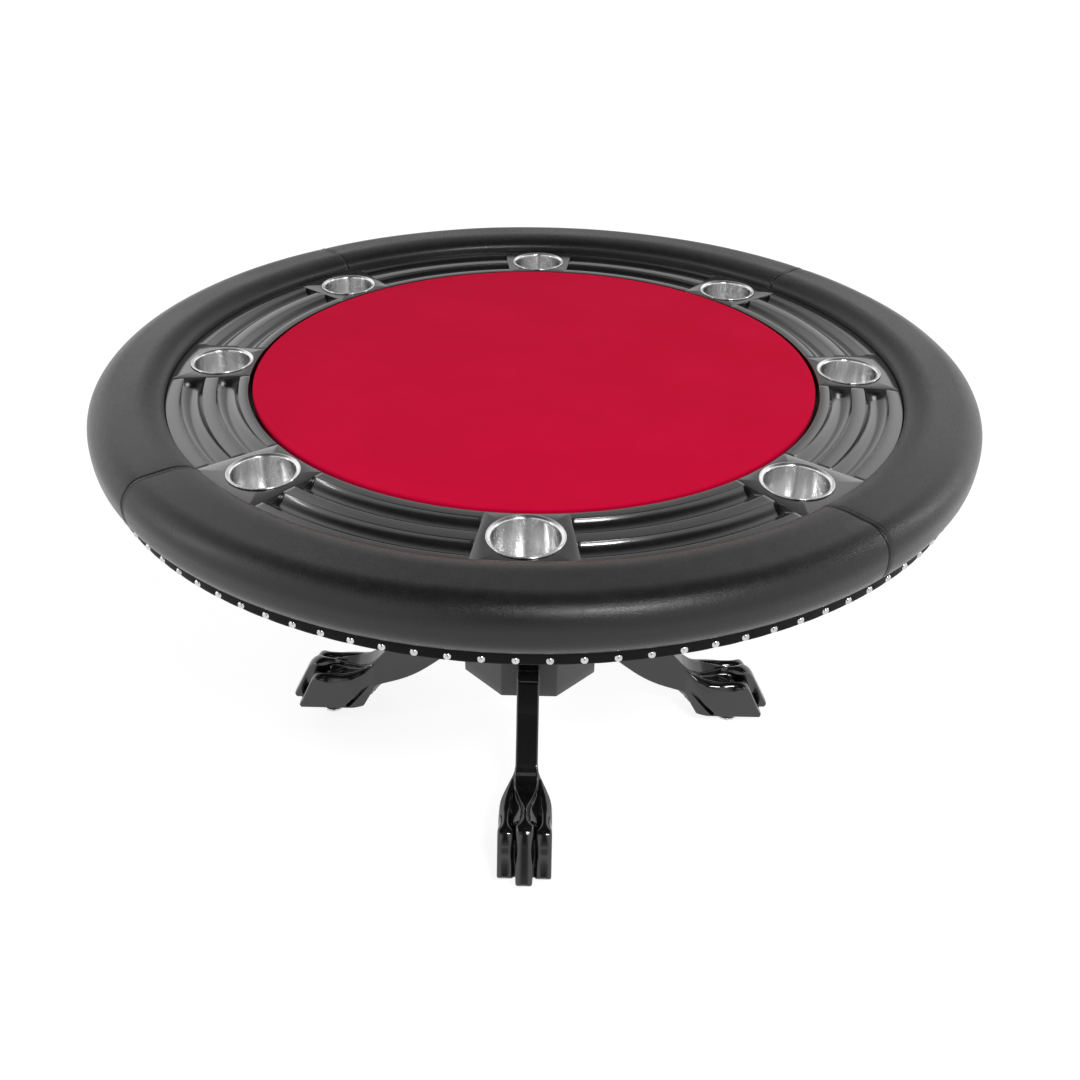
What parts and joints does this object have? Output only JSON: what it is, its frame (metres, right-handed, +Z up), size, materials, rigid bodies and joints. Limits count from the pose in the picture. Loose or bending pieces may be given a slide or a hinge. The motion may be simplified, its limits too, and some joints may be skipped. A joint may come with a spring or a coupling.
{
  "type": "poker table",
  "caption": "Round pedestal poker table with a padded rail, chip grooves, drop-in cup holders, a lift-out cloth playing surface and paw-footed legs.",
  "frame": {"origin": "on the floor, under the centre of the table", "axes": "+Z up along the column; one leg, and the cup holder above it, point along -Y, towards the near player"},
  "size_m": [1.3968, 1.3968, 0.762],
  "materials": {
    "speed_cloth": "tight matt weave with a faint sheen",
    "foam": "open foam",
    "plywood": "raw sanded ply",
    "racetrack_lacquer": "satin black lacquer",
    "stainless_cup": "brushed, polished rim",
    "rail_vinyl": "soft-grain black vinyl",
    "apron_vinyl": "soft-grain black vinyl",
    "nail_chrome": "polished",
    "zinc_steel": "bright zinc plate",
    "column_lacquer": "satin black lacquer",
    "leg_gloss": "gloss black lacquer",
    "leveller_chrome": "polished",
    "insert_brass": "machined"
  },
  "bodies": {
    "table": {"rail_foam": "foam", "board_riser": "plywood", "rail_base_ring": "plywood", "table_deck": "plywood", "column_top_plate": "plywood", "column_bottom_plate": "plywood", "chip_tray_1": "racetrack_lacquer", "chip_tray_2": "racetrack_lacquer", "chip_tray_3": "racetrack_lacquer", "chip_tray_4": "racetrack_lacquer", "chip_tray_5": "racetrack_lacquer", "chip_tray_6": "racetrack_lacquer", "chip_tray_7": "racetrack_lacquer", "chip_tray_8": "racetrack_lacquer", "cup_block_1": "racetrack_lacquer", "cup_block_2": "racetrack_lacquer", "cup_block_3": "racetrack_lacquer", "cup_block_4": "racetrack_lacquer", "cup_block_5": "racetrack_lacquer", "cup_block_6": "racetrack_lacquer", "cup_block_7": "racetrack_lacquer", "cup_block_8": "racetrack_lacquer", "rail_cover_1": "rail_vinyl", "rail_cover_2": "rail_vinyl", "rail_cover_3": "rail_vinyl", "rail_cover_4": "rail_vinyl", "apron_band": "apron_vinyl", "upholstery_nails": "nail_chrome", "deck_screws": "zinc_steel", "leg_bolts": "zinc_steel", "column": "column_lacquer", "leg_1": "leg_gloss", "leg_2": "leg_gloss", "leg_3": "leg_gloss", "leg_4": "leg_gloss", "paw_sides_1": "leg_gloss", "paw_sides_2": "leg_gloss", "paw_sides_3": "leg_gloss", "paw_sides_4": "leg_gloss", "leveller_inserts": "insert_brass"},
    "playing_surface": {"playing_cloth": "speed_cloth", "playing_foam": "foam", "playing_board": "plywood"},
    "cup_1": {"cup_holder_1": "stainless_cup"},
    "cup_2": {"cup_holder_2": "stainless_cup"},
    "cup_3": {"cup_holder_3": "stainless_cup"},
    "cup_4": {"cup_holder_4": "stainless_cup"},
    "cup_5": {"cup_holder_5": "stainless_cup"},
    "cup_6": {"cup_holder_6": "stainless_cup"},
    "cup_7": {"cup_holder_7": "stainless_cup"},
    "cup_8": {"cup_holder_8": "stainless_cup"},
    "leveller_1": {"leveller_pad_1": "leveller_chrome"},
    "leveller_screw_1": {"leveller_stud_1": "zinc_steel"},
    "leveller_2": {"leveller_pad_2": "leveller_chrome"},
    "leveller_screw_2": {"leveller_stud_2": "zinc_steel"},
    "leveller_3": {"leveller_pad_3": "leveller_chrome"},
    "leveller_screw_3": {"leveller_stud_3": "zinc_steel"},
    "leveller_4": {"leveller_pad_4": "leveller_chrome"},
    "leveller_screw_4": {"leveller_stud_4": "zinc_steel"}
  },
  "joints": [
    {"name": "playing_surface_lift", "type": "slide", "parent": "table", "child": "playing_surface", "axis": [0, 0, 1], "range_m": [0, 0.06]},
    {"name": "cup_lift_1", "type": "slide", "parent": "table", "child": "cup_1", "axis": [0, 0, 1], "range_m": [0, 0.1]},
    {"name": "cup_lift_2", "type": "slide", "parent": "table", "child": "cup_2", "axis": [0, 0, 1], "range_m": [0, 0.1]},
    {"name": "cup_lift_3", "type": "slide", "parent": "table", "child": "cup_3", "axis": [0, 0, 1], "range_m": [0, 0.1]},
    {"name": "cup_lift_4", "type": "slide", "parent": "table", "child": "cup_4", "axis": [0, 0, 1], "range_m": [0, 0.1]},
    {"name": "cup_lift_5", "type": "slide", "parent": "table", "child": "cup_5", "axis": [0, 0, 1], "range_m": [0, 0.1]},
    {"name": "cup_lift_6", "type": "slide", "parent": "table", "child": "cup_6", "axis": [0, 0, 1], "range_m": [0, 0.1]},
    {"name": "cup_lift_7", "type": "slide", "parent": "table", "child": "cup_7", "axis": [0, 0, 1], "range_m": [0, 0.1]},
    {"name": "cup_lift_8", "type": "slide", "parent": "table", "child": "cup_8", "axis": [0, 0, 1], "range_m": [0, 0.1]},
    {"name": "leveller_travel_1", "type": "slide", "parent": "table", "child": "leveller_1", "axis": [0, 0, 1], "range_m": [0, 0.012]},
    {"name": "leveller_turn_1", "type": "hinge", "parent": "leveller_1", "child": "leveller_screw_1", "pos_m": [0, -0.386, 0], "axis": [0, 0, 1], "range_deg": [0, 2881]},
    {"name": "leveller_travel_2", "type": "slide", "parent": "table", "child": "leveller_2", "axis": [0, 0, 1], "range_m": [0, 0.012]},
    {"name": "leveller_turn_2", "type": "hinge", "parent": "leveller_2", "child": "leveller_screw_2", "pos_m": [0.386, 0, 0], "axis": [0, 0, 1], "range_deg": [0, 2881]},
    {"name": "leveller_travel_3", "type": "slide", "parent": "table", "child": "leveller_3", "axis": [0, 0, 1], "range_m": [0, 0.012]},
    {"name": "leveller_turn_3", "type": "hinge", "parent": "leveller_3", "child": "leveller_screw_3", "pos_m": [0, 0.386, 0], "axis": [0, 0, 1], "range_deg": [0, 2881]},
    {"name": "leveller_travel_4", "type": "slide", "parent": "table", "child": "leveller_4", "axis": [0, 0, 1], "range_m": [0, 0.012]},
    {"name": "leveller_turn_4", "type": "hinge", "parent": "leveller_4", "child": "leveller_screw_4", "pos_m": [-0.386, 0, 0], "axis": [0, 0, 1], "range_deg": [0, 2881]}
  ],
  "couplings": [
    {"joint": "leveller_turn_1", "follows": "leveller_travel_1", "rad_per_m": 4188.8},
    {"joint": "leveller_turn_2", "follows": "leveller_travel_2", "rad_per_m": 4188.8},
    {"joint": "leveller_turn_3", "follows": "leveller_travel_3", "rad_per_m": 4188.8},
    {"joint": "leveller_turn_4", "follows": "leveller_travel_4", "rad_per_m": 4188.8}
  ]
}
